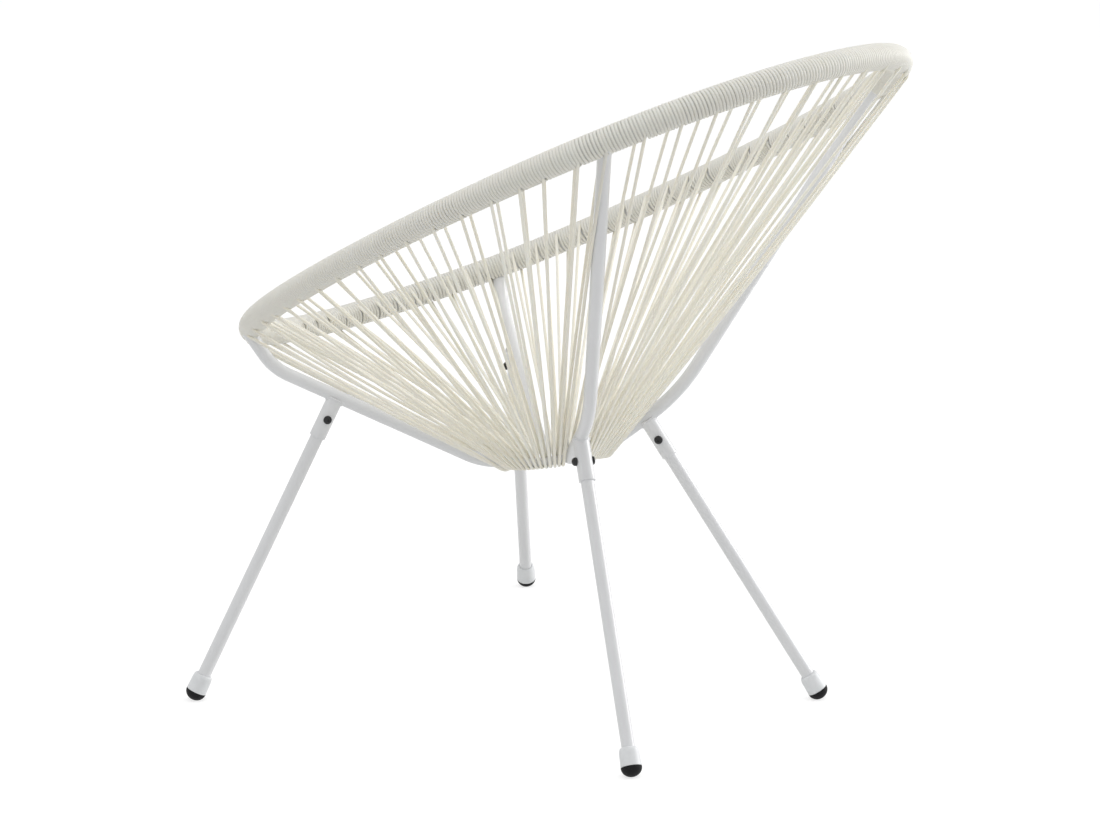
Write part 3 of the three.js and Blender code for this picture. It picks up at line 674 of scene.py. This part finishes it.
# The legs: straight steel tubes that plug into sockets welded under the struts, each held by a button-head
# bolt and a domed nut. White plastic ferrules close their lower ends, and black rubber glides with stems in
# the ferrules stand on the floor.
LEG_TUBE, SOCKET, BORE = 8 * MM, 9.9 * MM, 8.3 * MM
LEG_TOP_GAP, LEG_FOOT_GAP = 14 * MM, 9.3 * MM
SOCKET_RISE, BOLT_RISE, SOCKET_SIDES = 3 * MM, 25 * MM, 48
WELD_BEAD, WELD_SHIFT, WELD_RIPPLE, WELD_RIPPLES = 1.1 * MM, 0.2 * MM, 0.12, 17
HEAD, HEAD_SEAT, HEAD_RISE, HEAD_TOP, HEAD_EDGE = 5.2 * MM, 9.95 * MM, 2.8 * MM, 0.42, 0.7 * MM
NUT_RISE, NUT_EDGE = 5.4 * MM, 0.9 * MM
SHANK, SHANK_END = 2.7 * MM, 9.6 * MM
RECESS, RECESS_DEPTH, TIP = 1.9 * MM, 1.6 * MM, 0.05 * MM
FERRULE, FERRULE_BASE, FERRULE_EDGE, FERRULE_TAPER = 12.5 * MM, 0.3 * MM, 0.3 * MM, 0.5 * MM
SHOULDER_LOW, SHOULDER_HIGH, LIP = 14 * MM, 23 * MM, 9.4 * MM
STEM, STEM_HOLE, STEM_TOP, BORE_FLOOR = 6 * MM, 6.3 * MM, 8.4 * MM, 9.4 * MM
DOME, FLOOR_CUT = 11.3 * MM, 0.6 * MM

# Each pair in mm: its socket's place along the strut's middle run, how far it reaches down, and its foot.
leg_facts = {
    "front": {"along": 82.5, "reach": 54.5, "foot": (310, -330)},
    "back": {"along": 48, "reach": 54.6, "foot": (181, 247)},
}


def placed(grid, origin, basis):
    """Local points carried into place: origin + x X + y Y + z Z, with the basis vectors as rows."""
    return origin + grid @ basis


def arc_profile(radius_from, radius_to, height_from, height_to, steps):
    """A quarter ellipse from one radius and height to another, starting straight up."""
    a = np.linspace(0, math.pi / 2, steps)
    return np.stack([radius_to + (radius_from - radius_to) * np.cos(a),
                     height_from + (height_to - height_from) * np.sin(a)], -1)


def fine_grained(name, colour, roughness, grain, shine):
    """Rubber, moulded plastic or coated steel: a skin with a fine grain and slightly uneven gloss."""
    made = bpy.data.materials.new(name)
    shader = Shader(made)
    place = shader.node("ShaderNodeTexCoord", None, None, output=3)
    fine = shader.node("ShaderNodeTexNoise", None, {"Vector": place, "Scale": 1100.0, "Detail": 2.0})
    patch = shader.node("ShaderNodeTexNoise", None, {"Vector": place, "Scale": 60.0, "Detail": 2.0})
    worn = tuple(min(1.0, c * 1.25 + 0.004) for c in colour[:3]) + (1.0,)
    base = shader.mix(patch, colour, worn)
    bumped = shader.node("ShaderNodeBump", None, {"Strength": grain, "Distance": 0.0002, "Height": fine})
    surface = shader.node("ShaderNodeBsdfPrincipled", None, {
        "Base Color": base, "Roughness": roughness + (patch - 0.5) * 0.2, "Normal": bumped,
        "Specular IOR Level": shine})
    shader.node("ShaderNodeOutputMaterial", None, {"Surface": surface})
    return made


glide_black = fine_grained("black_rubber", linear(20, 20, 22), roughness=0.58, grain=0.3, shine=0.15)
ferrule_white = fine_grained("white_plastic", linear(218, 220, 222), roughness=0.42, grain=0.08, shine=0.5)
bolt_black = fine_grained("black_coated_steel", linear(18, 18, 20), roughness=0.3, grain=0.05, shine=0.4)


def socket_and_bead(reach, strut_run):
    """The socket, cut to a saddle under the strut, and the weld bead round its cut; the leg is the Z axis.

    Its wall at v meets the strut at the lower root h of (1 - c^2) h^2 - 2 k c h + R^2 - k^2 - r^2 = 0, with
    the run (a, b, c), k = R (a cos v + b sin v), and the radii R of the socket and r of the strut.
    """
    v = -np.linspace(0, 2 * math.pi, SOCKET_SIDES, endpoint=False)
    k = SOCKET * (strut_run[0] * np.cos(v) + strut_run[1] * np.sin(v))
    square = 1 - strut_run[2] ** 2
    inside = (k * strut_run[2]) ** 2 - square * (SOCKET ** 2 - k ** 2 - STRUT_TUBE ** 2)
    saddle = (k * strut_run[2] - np.sqrt(np.maximum(inside, 0))) / square
    rim = np.where(inside > 0, np.minimum(saddle, -SOCKET_RISE), -SOCKET_RISE)
    # The outer edge of the lower end is eased over half a millimetre.
    rows = [(BORE, -reach), (SOCKET - 0.4 * MM, -reach), (SOCKET - 0.1 * MM, -reach + 0.15 * MM),
            (SOCKET, -reach + 0.5 * MM), (SOCKET, -reach + 12 * MM)]
    wall = turned(rows, SOCKET_SIDES)
    edge = np.stack([SOCKET * np.cos(v), SOCKET * np.sin(v), rim], -1)
    middle = (wall[-1] + edge) / 2
    inner = edge * np.array([BORE / SOCKET, BORE / SOCKET, 1])
    bead_out = np.stack([np.cos(v), np.sin(v), np.zeros_like(v)], -1)
    bead_radius = WELD_BEAD * (1 + WELD_RIPPLE * np.sin(v * WELD_RIPPLES))
    bead = sweep(edge + bead_out * WELD_SHIFT, bead_out, bead_radius, sides=8, closed=True)
    return np.concatenate([wall, middle[None], edge[None], inner[None]]), bead


def bolt_and_nut():
    """The button-head bolt with its round recess, and the domed nut that faces it; the bolt is the Z axis."""
    head_top = HEAD_SEAT + HEAD_RISE
    shank = [[TIP, -SHANK_END], [SHANK, -SHANK_END], [SHANK, HEAD_SEAT], [HEAD, HEAD_SEAT]]
    crown = arc_profile(HEAD, HEAD * HEAD_TOP, HEAD_SEAT + HEAD_EDGE, head_top, steps=8)
    recess = [[RECESS, head_top], [RECESS, head_top - RECESS_DEPTH], [TIP, head_top - RECESS_DEPTH]]
    dome = arc_profile(HEAD, TIP, HEAD_SEAT + NUT_EDGE, HEAD_SEAT + NUT_RISE, steps=9)
    nut_profile = np.concatenate([[[TIP, HEAD_SEAT], [HEAD, HEAD_SEAT]], dome])
    bolt = turned(np.concatenate([shank, crown, recess]), sides=24)
    return bolt, turned(nut_profile, sides=24) * np.array([1, -1, -1])


def ferrule_and_glide():
    """The ferrule that goes over the leg, and the rubber dome with its stem; the leg is the Z axis."""
    sleeve = [[STEM_HOLE, FERRULE_BASE], [FERRULE - FERRULE_EDGE, FERRULE_BASE],
              [FERRULE, FERRULE_BASE + FERRULE_EDGE]]
    shoulder = arc_profile(FERRULE - FERRULE_TAPER, LIP, SHOULDER_LOW, SHOULDER_HIGH, steps=10)
    mouth = [[BORE, SHOULDER_HIGH], [BORE, BORE_FLOOR]]
    a = np.linspace(0.02, math.pi / 2, 14)
    dome_profile = np.stack([FERRULE * np.sin(a), -DOME * np.cos(a)], -1)
    ferrule = turned(np.concatenate([sleeve, shoulder, mouth]), sides=40)
    return ferrule, turned(np.concatenate([dome_profile, [[STEM, 0], [STEM, STEM_TOP]]]), sides=40)


bolt, nut = bolt_and_nut()
ferrule, glide = ferrule_and_glide()
for end, facts in leg_facts.items():
    for side, mirror in sides.items():
        neck, after = strut_corners[end][1], strut_corners[end][2]
        run = unit(after - neck) * mirror
        top = (neck + unit(after - neck) * facts["along"] * MM) * mirror
        foot = np.array([facts["foot"][0] * MM, facts["foot"][1] * MM, 0]) * mirror
        lean = math.acos(unit(top - foot)[2])
        foot[2] = math.hypot(FERRULE * math.sin(lean), DOME * math.cos(lean)) - FLOOR_CUT
        length = np.linalg.norm(top - foot)
        up_leg = unit(top - foot)
        across = unit(np.cross(up_leg, (0, 0, 1)))
        across = across * np.sign(across[1])
        basis = np.stack([across, np.cross(up_leg, across), up_leg])

        leg = turned([[LEG_TUBE, LEG_FOOT_GAP - length], [LEG_TUBE, -LEG_TOP_GAP]], sides=32)
        piece(f"{end}_leg_{side}", [placed(leg, top, basis)], frame_white, [f"leg_{end}_{side}"],
              smooth_angle=50)
        reach = facts["reach"] * MM
        socket, bead = socket_and_bead(reach, basis @ run)
        piece(f"{end}_socket_{side}", [placed(socket, top, basis)], frame_white,
              [f"leg_socket_{end}_{side}"], smooth_angle=50)
        piece(f"{end}_weld_{side}", [placed(bead, top, basis)], frame_white, closed=True)
        bolt_place = top + up_leg * (BOLT_RISE - reach)
        bolt_basis = np.stack([np.cross(up_leg, across), up_leg, across])
        piece(f"{end}_bolt_{side}", [placed(bolt, bolt_place, bolt_basis)], bolt_black,
              [f"bolt_{end}_{side}"], smooth_angle=35)
        piece(f"{end}_nut_{side}", [placed(nut, bolt_place, bolt_basis)], bolt_black,
              [f"cap_nut_{end}_{side}"], smooth_angle=35)
        piece(f"{end}_ferrule_{side}", [placed(ferrule, foot, basis)], ferrule_white,
              [f"ferrule_{end}_{side}"], smooth_angle=40)
        stood = placed(glide, foot, basis)
        stood[..., 2] = np.maximum(stood[..., 2], 0)
        piece(f"{end}_glide_{side}", [stood], glide_black, [f"glide_{end}_{side}"], smooth_angle=40)
